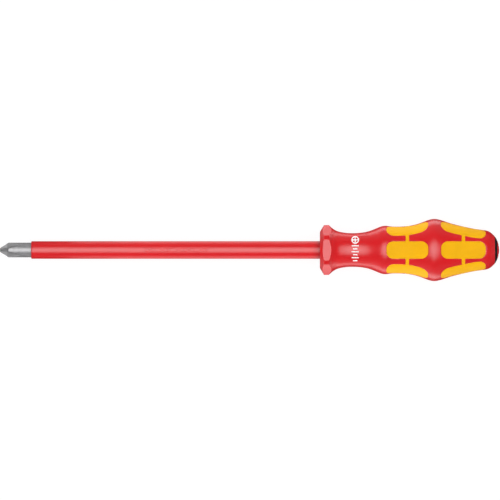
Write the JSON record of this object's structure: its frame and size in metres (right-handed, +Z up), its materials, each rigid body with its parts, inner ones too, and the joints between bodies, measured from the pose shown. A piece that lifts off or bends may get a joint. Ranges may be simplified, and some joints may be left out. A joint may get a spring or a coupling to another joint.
{
  "type": "insulated screwdriver",
  "caption": "Insulated screwdriver with a cross-recess tip, a red moulded blade sleeve and a waisted red handle with a six-sided collar and yellow grip pads.",
  "frame": {"origin": "the point of the cross tip, on the tool's axis", "axes": "+X along the tool towards the end of the handle; +Z up, out of one flat of the collar and one column of grip pads; the tip points along -X"},
  "size_m": [0.312, 0.0388, 0.0388],
  "materials": {
    "blade_steel": "blasted grey tool steel, dull plating, bright on the edges of the wings",
    "sleeve_red": "red moulded insulation, semi-gloss",
    "core_plastic": "natural hard plastic, not seen",
    "body_red": "red hard plastic, semi-gloss with fine moulded grain",
    "pad_yellow": "yellow soft grip plastic, matte with fine grain",
    "ring_black": "black plastic, satin",
    "cap_red": "red hard plastic, semi-gloss",
    "print_white": "white pad-printed ink"
  },
  "bodies": {
    "root": {"blade": "blade_steel", "blade_insulation": "sleeve_red", "handle_core": "core_plastic", "handle_shell": "body_red", "front_grip_pads": "pad_yellow", "rear_grip_pads": "pad_yellow", "end_ring": "ring_black", "end_cap": "cap_red", "neck_print": "print_white"}
  },
  "joints": []
}
